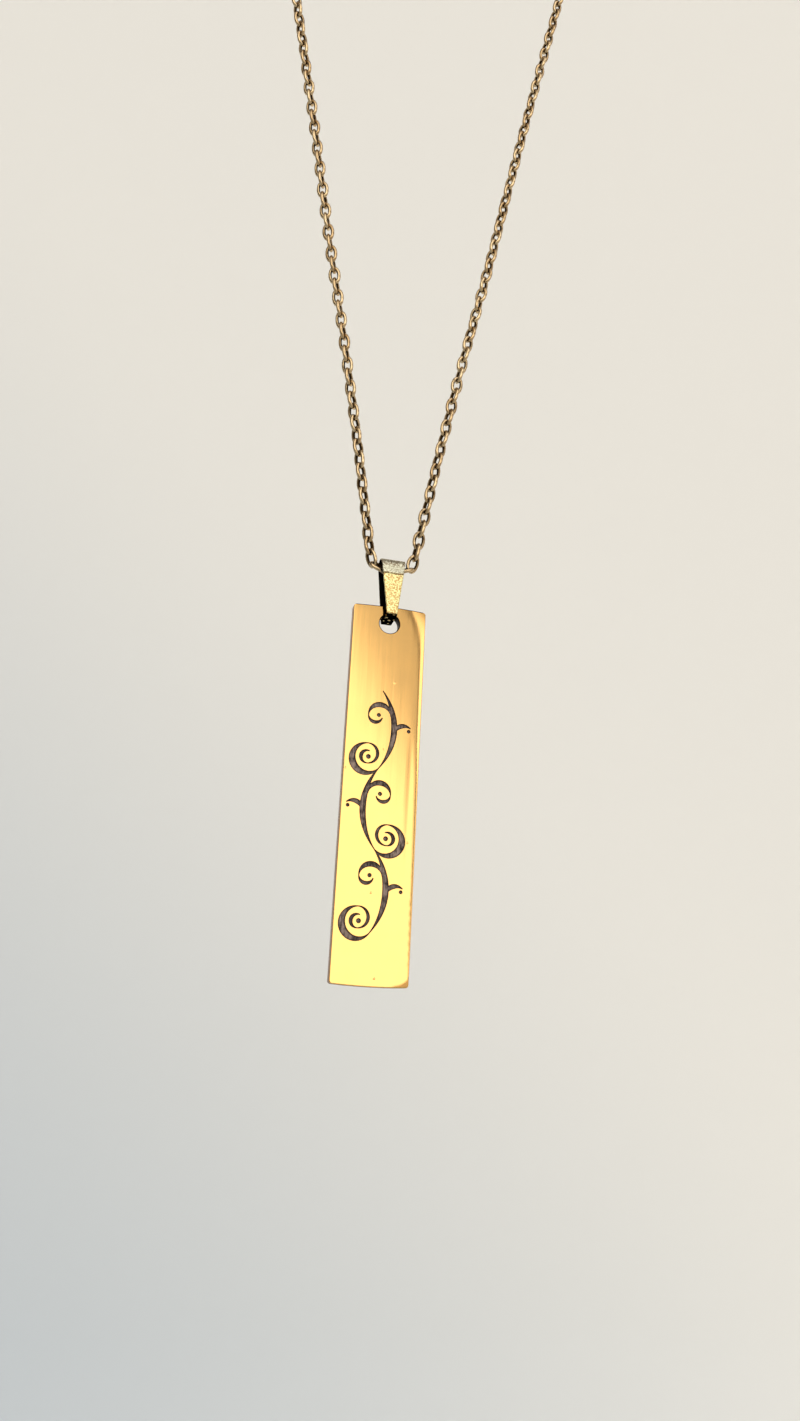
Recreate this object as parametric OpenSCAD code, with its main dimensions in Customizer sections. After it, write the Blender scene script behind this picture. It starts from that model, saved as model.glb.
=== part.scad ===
// Nameplate necklace: a flat bar pendant on a folded strap bail, hung from a fine cable chain.
// It is modelled as it hangs. The origin is the middle of the closure at the top of the loop,
// +X runs to the viewer's right, +Y away from the viewer and +Z up. All sizes are in millimetres.

/* [Nameplate] */
// Width of the bar
plate_w = 8; // [7:0.5:10]
// Length of the bar
plate_h = 40; // [38:1:50]
// Thickness of the bar
plate_t = 1.2; // [0.8:0.1:1.6]
// Radius of the bar's four corners
corner_r = 0.3; // [0.2:0.05:1]
// How far each end bows outwards at its middle
end_crown = 0.13; // [0.05:0.01:0.3]
// Diameter of the hanging hole
hole_d = 2.2; // [2:0.1:2.8]
// Centre of the hole below the bar's top end
hole_drop = 1.95; // [1.7:0.05:2.5]

/* [Engraving] */
// Start of the engraved vine below the bar's top end
vine_start = 9.6; // [7:0.2:10]
// Length of one wave of the vine
wave_len = 8.4; // [7:0.1:8.8]
// Sideways place of the vine's axis on the bar
vine_x = -0.3; // [-0.5:0.05:0.5]
// Width of the widest cut
cut_w = 0.78; // [0.4:0.02:0.9]
// Width of a cut at its two ends
hair_w = 0.12; // [0.08:0.01:0.2]
// Depth of the cuts
cut_depth = 0.12; // [0.05:0.01:0.3]

/* [Bail] */
// Thickness of the folded strip
strip_t = 0.35; // [0.25:0.05:0.4]
// Width of the strip at the fold
bail_top_w = 2.8; // [2.2:0.1:3]
// Width of the strip at its tips
bail_tip_w = 1.17; // [0.8:0.01:1.3]
// From the chain's centre line down to the tips
bail_drop = 5.95; // [5.8:0.05:8]
// Outer distance between the two legs at the tips
bail_spread = 3.4; // [3:0.1:4]
// Gap between the two tips inside the hole
tip_gap = 0.12; // [0.08:0.02:0.3]

/* [Chain] */
// From the closure down to the chain's lowest point
loop_drop = 200; // [190:1:210]
// Outer diameter of the chain as a smooth tube
chain_d = 1.3; // [1.1:0.05:1.4]

/* [Closure] */
// Outer diameter of the end ring
ring_d = 4.8; // [4.4:0.1:5.2]
// Wire diameter of the end ring
ring_wire = 0.8; // [0.6:0.05:0.9]
// Thickness of the clasp
clasp_t = 1.8; // [1.2:0.1:2]
// Diameter of the clasp's hollow
clasp_hollow_d = 2.3; // [2.2:0.1:2.6]
// Width of the metal around the clasp's hollow
clasp_wall = 0.9; // [0.6:0.1:1.2]
// Outer diameter of the clasp's eye
eye_d = 2.8; // [2.4:0.1:3.2]
// Diameter of the hole in the clasp's eye
eye_hole_d = 1.5; // [1.1:0.1:1.6]

/* [Clearances] */
// Between the chain and the bail's fold
fold_clear = 0.17; // [0.12:0.01:0.3]
// Between the bail's tips and the top of the hanging hole
pin_clear = 0.06; // [0.04:0.01:0.1]
// Between the clasp's nose and the end ring
nose_clear = 0.1; // [0.05:0.01:0.2]
// Between each end of the chain and the closure
end_clear = 0.3; // [0.2:0.05:0.4]

/* [Hidden] */
$fn = 64;

// Right half of the chain's centre line as [x, z], from the bail up to the closure, for a loop
// that drops by 200 mm. The left half mirrors it, and with its closure this loop is 450 mm long.
TABLE = [
    [0, -200], [1.3, -200], [2.0, -199.7], [2.4, -199], [2.6, -198], [2.9, -196], [3.6, -192],
    [4.6, -186], [5.7, -180], [7.0, -173], [9.8, -159], [12.6, -144], [15.5, -129], [18.5, -114],
    [21.5, -99], [24.5, -84], [27.6, -69], [30.6, -54], [33.3, -40], [34, -33], [33, -25],
    [29.5, -16.3], [24, -9.2], [17, -3.8], [12.3, -1.5], [7.3, 0]
];
chain_route = [for (p = TABLE) [p[0], -loop_drop * p[1] / TABLE[0][1]]];
// Sides of the tube, and the longest stretch and the widest turn between two of its rings
tube_sides = 8;
ring_step = 16;
ring_turn = 9;

// Heights of the pieces that hang from one another
chain_z = -loop_drop;
tip_top = chain_z - bail_drop + strip_t;
hole_r = hole_d / 2;
hole_z = tip_top + pin_clear - sqrt(pow(hole_r, 2) - pow(bail_tip_w / 2, 2));
plate_top = hole_z + hole_drop;

// Longer than any cut through a piece
through = 20;

// The bar: a rounded rectangle whose two ends bow outwards on a large arc.
crown_r = (pow(plate_w / 2, 2) + pow(end_crown, 2)) / (2 * end_crown);
corner_x = plate_w / 2 - corner_r;
shoulder = crown_r - sqrt(pow(crown_r, 2) - pow(corner_x, 2));

module plate_outline() {
    square([plate_w, plate_h - 2 * (shoulder + corner_r)], center = true);
    square([2 * corner_x, plate_h - 2 * shoulder], center = true);
    for (side = [-1, 1], end = [-1, 1])
        translate([side * corner_x, end * (plate_h / 2 - shoulder - corner_r)]) circle(corner_r);
    for (end = [-1, 1])
        intersection() {
            translate([0, end * (plate_h / 2 - crown_r)]) circle(crown_r);
            translate([0, end * plate_h / 4]) square([2 * corner_x, plate_h / 2], center = true);
        }
}

// The vine is a row of waves, each drawn as cuts along arcs that thin out at both ends.
// Lengths are shares of the wave's length, and widths are shares of the widest cut.
waves = 3;
stem_bow = 0.17;
stem_r = (0.25 + pow(stem_bow, 2)) / (2 * stem_bow);
stem_half = asin(0.5 / stem_r);
curl_r = [0.19, 0.128, 0.081];
curl_x = -curl_r[0] * cos(stem_half);
curl_y = -1 + curl_r[0] * sin(stem_half);
// Directions in which the arcs of a curl meet or end
curl_top = 90;
curl_low = -90;
curl_tip = -290;
// Columns: centre x, centre y, radius, first angle, last angle, width
CUTS = [
    [stem_bow - stem_r, -0.5, stem_r, stem_half, -stem_half, 0.85],
    [curl_x, curl_y, curl_r[0], -stem_half, curl_top - 360, 1],
    [curl_x, curl_y + curl_r[0] - curl_r[1], curl_r[1], curl_top, curl_low, 0.38],
    [curl_x, curl_y + curl_r[0] - 2 * curl_r[1] + curl_r[2], curl_r[2], curl_low, curl_tip, 0.46],
    [-0.024, -0.327, 0.143, 0, 180, 0.72],
    [-0.076, -0.327, 0.09, 180, 345, 0.44],
    [0.298, -0.56, 0.131, 180, 52, 0.62]
];
// Columns: centre x, centre y, radius
BUDS = [[curl_x + 0.014, -0.866, 0.031], [-0.036, -0.321, 0.027], [0.357, -0.494, 0.024]];
cut_steps = 16;
swell = 1.3;

function cut_half(t) = (hair_w + (cut_w - hair_w) * t) / 2;
function cut_edge(c, side) = [
    for (i = [0:cut_steps])
        let (t = i / cut_steps, a = c[3] + (c[4] - c[3]) * t,
             r = wave_len * c[2] + side * cut_half(c[5] * pow(sin(180 * t), swell)))
        [wave_len * c[0] + r * cos(a), wave_len * c[1] + r * sin(a)]
];
function reversed(list) = [for (i = [len(list) - 1:-1:0]) list[i]];

module wave() {
    for (c = CUTS) polygon(concat(cut_edge(c, 1), reversed(cut_edge(c, -1))));
    for (b = BUDS) translate([wave_len * b[0], wave_len * b[1]]) circle(wave_len * b[2]);
}

module vine() {
    for (i = [0:waves - 1])
        translate([vine_x, plate_h / 2 - vine_start - i * wave_len])
            if (i % 2 == 0) wave();
            else mirror([1, 0]) wave();
}

module nameplate() {
    color("gold")
        translate([0, 0, plate_top - plate_h / 2]) rotate([90, 0, 0]) difference() {
            linear_extrude(plate_t, center = true) plate_outline();
            translate([0, hole_z - plate_top + plate_h / 2]) cylinder(h = through, r = hole_r, center = true);
            translate([0, 0, plate_t / 2 - cut_depth]) linear_extrude(through) vine();
        }
}

// The bail: one strip folded over the chain, with its tips turned in to meet in the hole.
// Its side view is a round fold with two straight legs that leave it on a tangent.
fold_in_r = chain_d / 2 + fold_clear;
fold_out_r = fold_in_r + strip_t;
tip_reach = norm([bail_spread / 2, bail_drop]);
leg_angle = acos(fold_out_r / tip_reach) - atan2(bail_drop, bail_spread / 2);
leg_len = sqrt(pow(tip_reach, 2) - pow(fold_out_r, 2));

module half_side_view() {
    intersection() {
        difference() {
            circle(fold_out_r);
            circle(fold_in_r);
        }
        polygon([[0, 0], fold_out_r * 2 * [cos(leg_angle), sin(leg_angle)],
                 [fold_out_r * 2, fold_out_r * 2], [0, fold_out_r * 2]]);
    }
    rotate(leg_angle) translate([fold_in_r, -leg_len]) square([strip_t, leg_len]);
    polygon([[tip_gap / 2, -bail_drop], [bail_spread / 2, -bail_drop],
             [bail_spread / 2 - strip_t * tan(leg_angle), strip_t - bail_drop],
             [tip_gap / 2, strip_t - bail_drop]]);
}

module bail() {
    color("khaki") translate([0, 0, chain_z]) intersection() {
        rotate([90, 0, 90]) linear_extrude(bail_top_w, center = true) {
            half_side_view();
            mirror([1, 0]) half_side_view();
        }
        rotate([90, 0, 0]) linear_extrude(through, center = true)
            polygon([[-bail_tip_w / 2, -bail_drop], [bail_tip_w / 2, -bail_drop],
                     [bail_top_w / 2, fold_out_r], [-bail_top_w / 2, fold_out_r]]);
    }
}

// The chain: one tube swept along a smooth curve through the route's points.
// A span leaves each point along the tangent that suits both of its neighbours.
last = len(chain_route) - 1;
route = concat([for (i = [last:-1:1]) [-chain_route[i][0], chain_route[i][1]]], chain_route);

function unit(v) = v / norm(v);
function heading(i) =
    i == 0 ? unit(route[1] - route[0]) :
    i == len(route) - 1 ? unit(route[i] - route[i - 1]) :
    let (a = route[i] - route[i - 1], b = route[i + 1] - route[i])
    unit(norm(b) * unit(a) + norm(a) * unit(b));
function turn(i) = acos(min(1, heading(i) * heading(i + 1)));
function span(i) = norm(route[i + 1] - route[i]);
function rings_in(i) = max(ceil(span(i) / ring_step), ceil(turn(i) / ring_turn));
// A cubic curve over span i, and its direction, at the share t
function place(i, t) =
    route[i] * (1 + 2 * t) * pow(1 - t, 2) + route[i + 1] * t * t * (3 - 2 * t)
    + span(i) * (heading(i) * t * pow(1 - t, 2) - heading(i + 1) * t * t * (1 - t));
function direction(i, t) =
    unit((route[i + 1] - route[i]) * 6 * t * (1 - t)
         + span(i) * (heading(i) * (1 - t) * (1 - 3 * t) - heading(i + 1) * t * (2 - 3 * t)));
function ring(p, d) = [
    for (k = [0:tube_sides - 1])
        let (a = 360 * (k + 0.5) / tube_sides, out = chain_d / 2 * cos(a))
        [p[0] - d[1] * out, chain_d / 2 * sin(a), p[1] + d[0] * out]
];
rings = concat(
    [for (i = [0:len(route) - 2]) for (j = [0:rings_in(i) - 1])
        let (t = j / rings_in(i)) ring(place(i, t), direction(i, t))],
    [ring(route[len(route) - 1], heading(len(route) - 1))]
);

module chain() {
    color("goldenrod") polyhedron(
        points = [for (r = rings) each r],
        faces = concat(
            [[for (k = [tube_sides - 1:-1:0]) k]],
            [for (i = [0:len(rings) - 2], k = [0:tube_sides - 1])
                let (a = i * tube_sides, next = (k + 1) % tube_sides)
                [a + next, a + tube_sides + next, a + tube_sides + k, a + k]],
            [[for (k = [0:tube_sides - 1]) (len(rings) - 1) * tube_sides + k]]
        )
    );
}

// The closure: the ring lies flat and hooks through the clasp, which stands in the loop's plane.
closure_x = chain_route[last][0] - end_clear;
ring_x = closure_x - ring_d / 2;
nose_x = ring_x - sqrt(pow(ring_d / 2 - ring_wire, 2) - pow(clasp_t / 2 + nose_clear, 2));
hollow_r = clasp_hollow_d / 2;
hollow_x = nose_x - hollow_r;
head_r = hollow_r + clasp_wall;
eye_x = eye_d / 2 - closure_x;
// Where the straight flanks leave the head and the eye
flank = acos((head_r - eye_d / 2) / (hollow_x - eye_x));
flank_dir = [-cos(flank), sin(flank)];

module clasp() {
    color("darkgoldenrod") rotate([90, 0, 0]) linear_extrude(clasp_t, center = true) difference() {
        union() {
            translate([hollow_x, 0]) circle(head_r);
            translate([eye_x, 0]) circle(eye_d / 2);
            polygon([for (p = [[hollow_x, head_r, 1], [eye_x, eye_d / 2, 1],
                               [eye_x, eye_d / 2, -1], [hollow_x, head_r, -1]])
                [p[0] + p[1] * flank_dir[0], p[1] * p[2] * flank_dir[1]]]);
        }
        translate([hollow_x, 0]) circle(hollow_r);
        translate([eye_x, 0]) circle(eye_hole_d / 2);
    }
}

module end_ring() {
    color("goldenrod") translate([ring_x, 0, 0]) rotate_extrude()
        translate([(ring_d - ring_wire) / 2, 0]) circle(ring_wire / 2);
}

nameplate();
bail();
chain();
clasp();
end_ring();
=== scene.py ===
from math import acos, asin, atan2, copysign, cos, degrees, exp, hypot, pi, radians, sin, sqrt, tan, tau

import bmesh
import bpy
from mathutils import Matrix, Vector, kdtree
from mathutils.geometry import delaunay_2d_cdt


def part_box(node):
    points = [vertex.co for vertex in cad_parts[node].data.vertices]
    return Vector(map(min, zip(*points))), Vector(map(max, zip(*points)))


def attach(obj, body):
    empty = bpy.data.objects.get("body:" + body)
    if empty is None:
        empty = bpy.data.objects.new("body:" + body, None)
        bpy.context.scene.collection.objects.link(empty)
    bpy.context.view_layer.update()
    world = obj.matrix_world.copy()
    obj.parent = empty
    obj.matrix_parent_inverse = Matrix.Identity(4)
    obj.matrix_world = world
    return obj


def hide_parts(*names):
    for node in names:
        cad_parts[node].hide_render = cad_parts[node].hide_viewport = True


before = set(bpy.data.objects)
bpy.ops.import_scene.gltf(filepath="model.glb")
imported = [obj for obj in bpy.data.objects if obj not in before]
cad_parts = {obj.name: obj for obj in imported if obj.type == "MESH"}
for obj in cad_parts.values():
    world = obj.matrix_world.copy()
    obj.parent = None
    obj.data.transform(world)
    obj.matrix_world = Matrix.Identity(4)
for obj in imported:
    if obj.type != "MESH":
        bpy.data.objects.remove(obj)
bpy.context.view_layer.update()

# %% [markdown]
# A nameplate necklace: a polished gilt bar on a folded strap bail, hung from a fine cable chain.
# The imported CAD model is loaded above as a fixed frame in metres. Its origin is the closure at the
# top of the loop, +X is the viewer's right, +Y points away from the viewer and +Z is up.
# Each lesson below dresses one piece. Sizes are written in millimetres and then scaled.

MM = 0.001
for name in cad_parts:
    low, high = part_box(name)
    print(f"  {name}: {[round(v / MM, 2) for v in low]} to {[round(v / MM, 2) for v in high]}")

# %% [markdown]
# A given colour is an sRGB number, while the shaders want linear light, so one function
# converts it. Another adds a node to any tree, shader or geometry, sets its properties and fills
# its sockets with values or with links from earlier nodes. Where a whole node is given, the first
# output that it has in use is linked.

# %% Colours and nodes
def linear(code):
    parts = [int(code[i:i + 2], 16) / 255 for i in (1, 3, 5)]
    return (*[p / 12.92 if p <= 0.04045 else ((p + 0.055) / 1.055) ** 2.4 for p in parts], 1)


def fill(node, inputs):
    for key, value in inputs.items():
        if isinstance(value, bpy.types.Node):
            value = next(output for output in value.outputs if output.enabled)
        if isinstance(value, bpy.types.NodeSocket):
            node.id_data.links.new(value, node.inputs[key])
        else:
            node.inputs[key].default_value = value


def add(tree, kind, inputs=None, **settings):
    made = tree.nodes.new(kind)
    for key, value in settings.items():
        setattr(made, key, value)
    fill(made, inputs or {})
    return made


print("gold plating in linear light:", [round(v, 3) for v in linear("#FAC578")])

# %% [markdown]
# A mesh made in code starts as lists of points and faces. The function solid takes millimetres,
# turns all faces outwards, and keeps an edge sharp only where two faces meet at more than a given
# angle, so that rounded metal shades smoothly. A material starts as one shader, with the object's
# own coordinates to vary it by.

# %% From points and faces to a finished object
def put(name, data):
    # A new object at the origin that holds the given data
    made = bpy.data.objects.new(name, data)
    bpy.context.scene.collection.objects.link(made)
    return made


def solid(name, points, faces, materials, slots=None, sharp=40, values=None):
    mesh = bpy.data.meshes.new(name)
    mesh.from_pydata([Vector(p) * MM for p in points], [], faces)
    for coat in materials:
        mesh.materials.append(coat)
    if slots:
        mesh.polygons.foreach_set("material_index", slots)
    for key, numbers in (values or {}).items():
        mesh.attributes.new(key, "FLOAT", "POINT").data.foreach_set("value", numbers)
    made = bmesh.new()
    made.from_mesh(mesh)
    bmesh.ops.remove_doubles(made, verts=made.verts, dist=1e-8)
    bmesh.ops.recalc_face_normals(made, faces=made.faces)
    open_edges = sum(not e.is_manifold for e in made.edges)
    volume = made.calc_volume(signed=True) / MM ** 3
    made.to_mesh(mesh)
    made.free()
    mesh.shade_smooth()
    mesh.set_sharp_from_angle(angle=radians(sharp))
    print(f"{name}: {len(mesh.polygons)} faces, {open_edges} open edges, {volume:.2f} mm3")
    return put(name, mesh)


def material(name):
    made = bpy.data.materials.new(name)
    made.use_nodes = True
    tree = made.node_tree
    tree.nodes.clear()
    shader = add(tree, "ShaderNodeBsdfPrincipled")
    add(tree, "ShaderNodeOutputMaterial", {"Surface": shader})
    return made, tree, shader, add(tree, "ShaderNodeTexCoord").outputs["Object"]


print("sizes in millimetres are stored in metres, times", MM)

# %% [markdown]
# The photograph was taken with a wide phone lens, about 11 cm from the bar, from a little to the
# left and below, with the phone tilted by 3 degrees. The place and the three axes of the camera
# were worked out from the bar's outline, which shows 40 by 8 mm in perspective.

# %% The camera
SHOT_FROM = Vector((-22.184, -106.051, -248.072)) * MM
RIGHT, UP, FORWARD = (Vector(v) for v in (
    (0.97077, -0.23467, 0.05033), (-0.11369, -0.26494, 0.95754), (0.21136, 0.93528, 0.28388)))
lens = bpy.data.cameras.new("camera")
lens.sensor_width, lens.lens = 36, 27.03
lens.clip_start, lens.clip_end = 0.001, 20
camera = put("camera", lens)
camera.matrix_world = Matrix((RIGHT, UP, -FORWARD)).transposed().to_4x4()
camera.location = SHOT_FROM
bpy.context.scene.camera = camera
bpy.context.scene.view_settings.view_transform = "Standard"
print("camera to bar, mm:", round((Vector((0, 0, -225)) - SHOT_FROM / MM).length, 1))

# %% [markdown]
# The stage is one sheet: a pale floor that sweeps up into a pale wall, as a photographer's paper
# roll does, so that no edge shows. Its colour carries a painted shade, cool grey low on the left,
# that turns to a warm off-white. It stands so far away that a camera on any side of the necklace
# is still in front of it.

# %% The floor and the backdrop
FLOOR_Z, WALL_Y, SWEEP = -700, 700, 250
NEAR_Y, SIDE_X, TOP_Z = -2500, 3000, 2500
# Where the painted shade on the paper is deepest, and where it has faded to off-white
SHADED_AT, LIT_AT = -560, 200
paper, tree, shader, at = material("backdrop_paper_painted_shade")
# The paper's colour is a painted shade: cool grey low on the left, warm off-white higher up
rise = add(tree, "ShaderNodeVectorMath", {0: at, 1: (0.7, 0, 0.7)}, operation="DOT_PRODUCT")
share = add(tree, "ShaderNodeMapRange", {
    "Value": rise, "From Min": SHADED_AT * MM, "From Max": LIT_AT * MM}, interpolation_type="SMOOTHSTEP")
tint = add(tree, "ShaderNodeMix", {
    "Factor": share, 6: linear("#C6CDD2"), 7: linear("#EFEDE7")}, data_type="RGBA")
fill(shader, {"Base Color": tint, "Roughness": 0.9, "Specular IOR Level": 0.2})
profile = [(NEAR_Y, FLOOR_Z)]
for i in range(25):
    a = radians(-90 + 90 * i / 24)
    profile.append((WALL_Y - SWEEP + SWEEP * cos(a), FLOOR_Z + SWEEP + SWEEP * sin(a)))
profile.append((WALL_Y, TOP_Z))
points = [(x, y, z) for x in (-SIDE_X, SIDE_X) for y, z in profile]
count = len(profile)
mesh = bpy.data.meshes.new("backdrop")
mesh.from_pydata([Vector(p) * MM for p in points], [],
                 [(i, i + count, i + count + 1, i + 1) for i in range(count - 1)])
mesh.materials.append(paper)
mesh.shade_smooth()
backdrop = put("backdrop", mesh)
print("backdrop: a sweep of", count, "rows,", -FLOOR_Z, "mm below the closure")

# %% [markdown]
# Polished metal mostly shows what stands round it. The studio is a soft surround by direction: a
# broad white card low in front, whose slanting edge crosses the bar as the change from bright
# yellow to tan, a dimmer stretch over it, a narrow dark gap, and a second card to the upper right.
# The ceiling and the far left are dim, which gives the chain's round wire its dark sides. Having
# no body, a surround can't stand in another camera's way, and a camera that looks past the paper
# sees a plain pale room instead.

# %% The soft studio light
# A plane: the way that it faces, how far out it lies, and half the width of its soft edge
LOW_EDGE = ((-0.826, -0.315, -0.468), 0, 0.031)
GAP_EDGE = ((0.858, 0.3745, 0.352), -0.017, 0.009)
HIGH_EDGE = ((0.858, 0.3745, 0.352), 0.021, 0.01)
IN_FRONT = ((0, -1, 0), 0.35, 0.25)
# Colour, strength and planes of each patch of light, laid over the earlier ones
PATCHES = (
    ("#5E564E", 1, [((0, 0, 1), 0.7, 0.2)]),
    ("#E4E3E2", 1, [IN_FRONT]),
    ("#5E564E", 1, [((0, 0, 1), 0.6, 0.08), ((-1, 0, 0), -0.2, 0.15)]),
    ("#4E4740", 1, [((-1, 0.1, 0), 0.62, 0.2)]),
    ("#8F8B87", 1, [IN_FRONT, GAP_EDGE]),
    ("#FFFCFA", 1.9, [((0.4, -1, 0), 0.3, 0.2), HIGH_EDGE, ((0, 0, -1), -0.41, 0.05),
                      ((-1, -0.7, 0), -0.35, 0.1)]),
    ("#FFFCFA", 1.9, [IN_FRONT, HIGH_EDGE, ((0, 0, 1), 0.57, 0.05)]),
    ("#FFFDF8", 1.95, [IN_FRONT, LOW_EDGE, ((1, -0.85, 0), -0.1, 0.15)]),
    ("#D9CFC2", 1, [IN_FRONT, ((0, 0, -1), 0.01, 0.02)]))
world = bpy.data.worlds.new("studio")
bpy.context.scene.world = world
world.use_nodes = True
tree = world.node_tree
tree.nodes.clear()
direction = add(tree, "ShaderNodeTexCoord").outputs["Generated"]
light = linear("#B9B2A8")
for colour, strength, planes in PATCHES:
    share = 1.0
    for facing, middle, soft in planes:
        side = add(tree, "ShaderNodeVectorMath", {0: direction, 1: Vector(facing).normalized()},
                   operation="DOT_PRODUCT")
        step = add(tree, "ShaderNodeMapRange", {
            "Value": side, "From Min": middle - soft, "From Max": middle + soft},
            interpolation_type="SMOOTHSTEP")
        share = add(tree, "ShaderNodeMath", {0: share, 1: step}, operation="MULTIPLY")
    glow = [v * strength for v in linear(colour)[:3]] + [1]
    light = add(tree, "ShaderNodeMix", {"Factor": share, 6: light, 7: glow}, data_type="RGBA")
seen = add(tree, "ShaderNodeLightPath").outputs["Is Camera Ray"]
light = add(tree, "ShaderNodeMix", {"Factor": seen, 6: light, 7: linear("#DFDEDA")}, data_type="RGBA")
background = add(tree, "ShaderNodeBackground", {"Color": light})
add(tree, "ShaderNodeOutputWorld", {"Surface": background})
print("studio:", len(PATCHES), "patches of light")

# %% [markdown]
# The bar is gilt brass: yellow brass stamped from sheet, polished, plated with thin gold and then
# engraved by laser. The plating gives the colour, and the metal keeps its default IOR. A polishing
# mop leaves shallow waves and hairlines along the bar, which show as faint streaks. Real hairlines
# are finer than a pixel, so these lie 0.15 mm apart. A few nicks show as bright specks. The hole
# is drilled and left rough. The sides are a darker brown, a painted shade, and the hole's wall and
# the bar's rounded upper edge are near black, also a painted shade.

# %% Polished gold plating
def polished_gold(name, colours, roughness, hair):
    made, tree, shader, at = material(name)
    streaks = []
    for across, along in ((0.15, 6), (0.8, 14)):
        drawn = add(tree, "ShaderNodeMapping", {
            "Vector": at, "Scale": (1 / (across * MM), 1 / (across * MM), 1 / (along * MM))})
        streaks.append(add(tree, "ShaderNodeTexNoise", {"Vector": drawn, "Scale": 1.0}))
    cloud = add(tree, "ShaderNodeTexNoise", {"Vector": at, "Scale": 1 / (2.5 * MM), "Detail": 4.0})
    place = add(tree, "ShaderNodeSeparateXYZ", {0: at}).outputs
    flat = add(tree, "ShaderNodeCombineXYZ", {0: place[0], 1: place[2]})
    nick = add(tree, "ShaderNodeTexVoronoi", {
        "Vector": flat, "Scale": 1 / (8 * MM)}, voronoi_dimensions="2D")
    nicked = add(tree, "ShaderNodeMapRange", {
        "Value": nick, "From Max": 0.018, "To Min": 0.35, "To Max": 0.0})
    soft = add(tree, "ShaderNodeMapRange", {
        "Value": cloud, "From Min": 0.3, "From Max": 0.7,
        "To Min": roughness - 0.015, "To Max": roughness + 0.02})
    rough = add(tree, "ShaderNodeMath", {0: soft, 1: nicked}, operation="ADD")
    tint = add(tree, "ShaderNodeMix", {
        "Factor": cloud, 6: linear(colours[0]), 7: linear(colours[1])}, data_type="RGBA")
    bent = {}
    for height, strength, depth in (
            (streaks[0], hair, 0.0007), (nicked, 1.0, 0.05), (streaks[1], 1.0, 0.003)):
        bent["Normal"] = add(tree, "ShaderNodeBump", {
            "Height": height, "Strength": strength, "Distance": depth * MM, **bent})
    fill(shader, {"Base Color": tint, "Metallic": 1.0, "Roughness": rough, **bent})
    return made


bar_face = polished_gold("gilt_brass_mop_polished", ("#FAC578", "#F9C374"), 0.08, 0.6)
# The sides' darker brown is a painted shade
shaded_side = polished_gold("gilt_brass_side_painted_shade", ("#A87945", "#8E6236"), 0.28, 0.8)
# Painted shade: the hole's wall and the rounded upper edge are nearly black
dark_shade_gold = polished_gold("gilt_brass_painted_dark_shade", ("#3A2A16", "#2A1D10"), 0.4, 0.8)
print("materials:", bar_face.name, shaded_side.name, dark_shade_gold.name)

# %% [markdown]
# The cuts were burnt by a laser, which leaves a matte brown-grey floor of melted and oxidised
# metal. The floor is darkest along its walls, partly where the beam turned round and partly as a
# painted shade at the foot of the walls. The floor's colour follows the distance from the nearest
# wall, which the mesh carries as the value "from_wall" in millimetres. The beam's passes lie about
# 0.05 mm apart and are drawn at twice that.

# %% The burnt floor of the engraving
engraved, tree, shader, at = material("laser_burnt_brass")
slant = add(tree, "ShaderNodeMapping", {
    "Vector": at, "Rotation": (0, radians(35), 0),
    "Scale": (1 / (0.12 * MM), 1 / (1 * MM), 1 / (0.9 * MM))})
passes = add(tree, "ShaderNodeTexNoise", {"Vector": slant, "Scale": 1.0})
cloud = add(tree, "ShaderNodeTexNoise", {"Vector": at, "Scale": 1 / (0.6 * MM), "Detail": 3.0})
away = add(tree, "ShaderNodeAttribute", attribute_name="from_wall").outputs["Fac"]
# Darker near the walls: the laser's outline pass and a painted shade
inner = add(tree, "ShaderNodeMapRange", {"Value": away, "From Min": 0.05, "From Max": 0.19})
uneven = add(tree, "ShaderNodeMath", {0: passes, 1: cloud}, operation="MULTIPLY")
pale = add(tree, "ShaderNodeMapRange", {"Value": uneven, "From Min": 0.16, "From Max": 0.33})
mixed = add(tree, "ShaderNodeMath", {0: inner, 1: pale}, operation="MULTIPLY")
tint = add(tree, "ShaderNodeMix", {
    "Factor": mixed, 6: linear("#30221C"), 7: linear("#9C877B")}, data_type="RGBA")
bump = add(tree, "ShaderNodeBump", {"Height": passes, "Strength": 0.5, "Distance": 0.02 * MM})
fill(shader, {"Base Color": tint, "Metallic": 0.35, "Roughness": 0.6, "Normal": bump})
print("material:", engraved.name)

# %% [markdown]
# The bar's outline repeats the CAD's: 8 by 40 mm, small round corners, and two ends that bow
# outwards by 0.13 mm. One function gives this outline pulled inwards by any distance, always with
# the same number of points, so that rows of faces can join one pull to the next.

# %% The bar's outline
BAR_W, BAR_H, BAR_T, CORNER_R, CROWN = 8.0, 39.99, 1.2, 0.3, 0.13
HOLE_Z, HOLE_R, BAR_TOP = -206.4715, 1.1, -204.5265
BAR_Z = BAR_TOP - BAR_H / 2
CROWN_R = ((BAR_W / 2) ** 2 + CROWN ** 2) / (2 * CROWN)
CORNER_X = BAR_W / 2 - CORNER_R


def end_height(x):
    # Height of the bowed end over the bar's middle, at x
    return BAR_H / 2 - CROWN_R + sqrt(CROWN_R ** 2 - x * x)


def quarter_outline():
    # Points and outward normals of the upper right quarter, from the middle of the side
    corner_z = end_height(CORNER_X) - CORNER_R
    rows = [(BAR_W / 2, corner_z * i / 20, 1, 0) for i in range(20)]
    for i in range(6):
        a = radians(90 * i / 6)
        rows.append((CORNER_X + CORNER_R * cos(a), corner_z + CORNER_R * sin(a), cos(a), sin(a)))
    for i in range(9):
        x = CORNER_X * (1 - i / 8)
        rows.append((x, end_height(x), x / CROWN_R, sqrt(1 - (x / CROWN_R) ** 2)))
    return rows


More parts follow.
